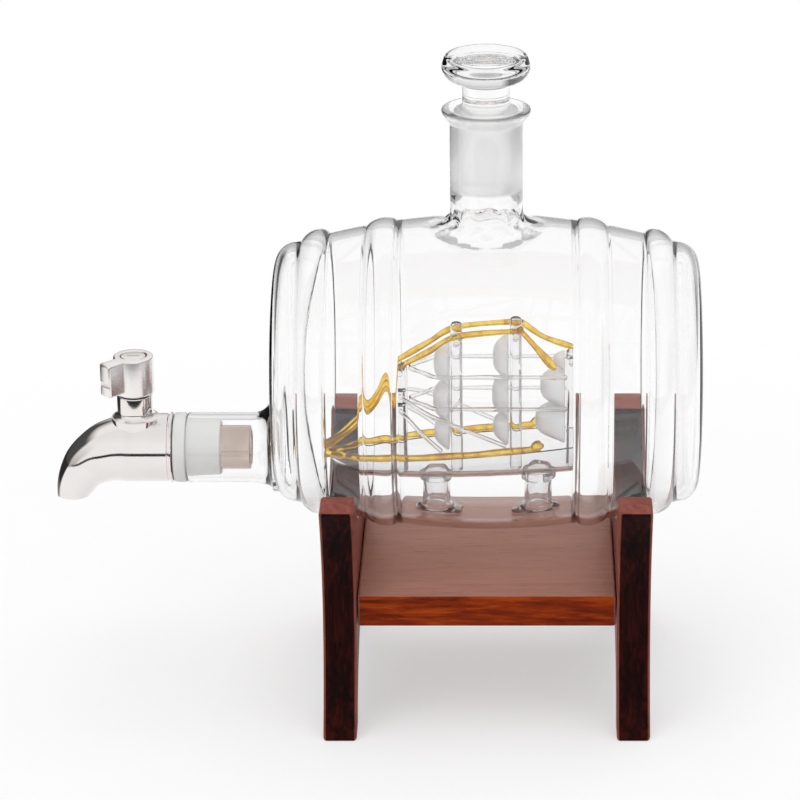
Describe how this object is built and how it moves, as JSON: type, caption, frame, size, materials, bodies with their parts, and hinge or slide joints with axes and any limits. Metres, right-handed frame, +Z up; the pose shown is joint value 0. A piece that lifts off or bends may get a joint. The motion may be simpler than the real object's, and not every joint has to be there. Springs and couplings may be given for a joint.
{
  "type": "decanter with tap",
  "caption": "Glass barrel decanter on a wooden stand, with a ground stopper, a lever tap in a silicone bung and a glass sailing ship inside.",
  "frame": {"origin": "on the floor, under the middle of the object's bounding box", "axes": "+Z up, +X along the barrel from the tap's end to its plain end, +Y across it, away from the side the lever points to"},
  "size_m": [0.2404, 0.1192, 0.2446],
  "materials": {
    "clear_glass": "clear, polished",
    "frosted_glass": "frosted",
    "amber_glass": "amber, polished",
    "polished_nickel": "polished",
    "satin_nickel": "satin",
    "brass": "turned",
    "silicone": "pale, slightly see-through",
    "black_rubber": "matte",
    "mahogany": "dark stain, gloss varnish"
  },
  "bodies": {
    "stand": {"stand_left": "mahogany", "stand_right": "mahogany", "stand_board": "mahogany", "dowel_left_front": "mahogany", "dowel_left_back": "mahogany", "dowel_right_front": "mahogany", "dowel_right_back": "mahogany"},
    "vessel": {"glass_barrel": "clear_glass", "glass_neck": "clear_glass", "glass_outlet": "clear_glass", "ship_hull": "clear_glass", "pedestal_bow": "clear_glass", "pedestal_stern": "clear_glass", "mast_bow": "clear_glass", "mast_main": "clear_glass", "mast_mizzen": "clear_glass", "mast_stern": "clear_glass", "sail_main_upper": "frosted_glass", "sail_main_middle": "frosted_glass", "sail_main_lower": "frosted_glass", "sail_mizzen_upper": "frosted_glass", "sail_mizzen_middle": "frosted_glass", "sail_mizzen_lower": "frosted_glass", "sail_stern_upper": "frosted_glass", "sail_stern_middle": "frosted_glass", "sail_stern_lower": "frosted_glass", "rail_near": "amber_glass", "rail_far": "amber_glass", "stay_near": "amber_glass", "stay_far": "amber_glass", "brace_upper_near": "clear_glass", "brace_upper_far": "clear_glass", "brace_lower_near": "clear_glass", "brace_lower_far": "clear_glass", "shroud_long_near": "clear_glass", "shroud_long_far": "clear_glass", "shroud_short_near": "clear_glass", "shroud_short_far": "clear_glass"},
    "stopper": {"stopper": "clear_glass"},
    "tap": {"bung": "silicone", "tap_shank": "polished_nickel", "tap_body": "polished_nickel", "bonnet_nut": "brass"},
    "tap_handle": {"valve_spindle": "brass", "o_ring_upper": "black_rubber", "o_ring_lower": "black_rubber", "tap_handle": "satin_nickel", "handle_screw": "polished_nickel"}
  },
  "joints": [
    {"name": "barrel_lift", "type": "slide", "parent": "stand", "child": "vessel", "axis": [0, 0, 1], "range_m": [0, 0.05]},
    {"name": "stopper_lift", "type": "slide", "parent": "vessel", "child": "stopper", "axis": [0, 0, 1], "range_m": [0, 0.045]},
    {"name": "tap_pull", "type": "slide", "parent": "vessel", "child": "tap", "axis": [-1, 0, 0], "range_m": [0, 0.035]},
    {"name": "handle_turn", "type": "hinge", "parent": "tap", "child": "tap_handle", "pos_m": [-0.0898, 0, 0.0923], "axis": [0, 0, 1], "range_deg": [-45, 45]}
  ]
}
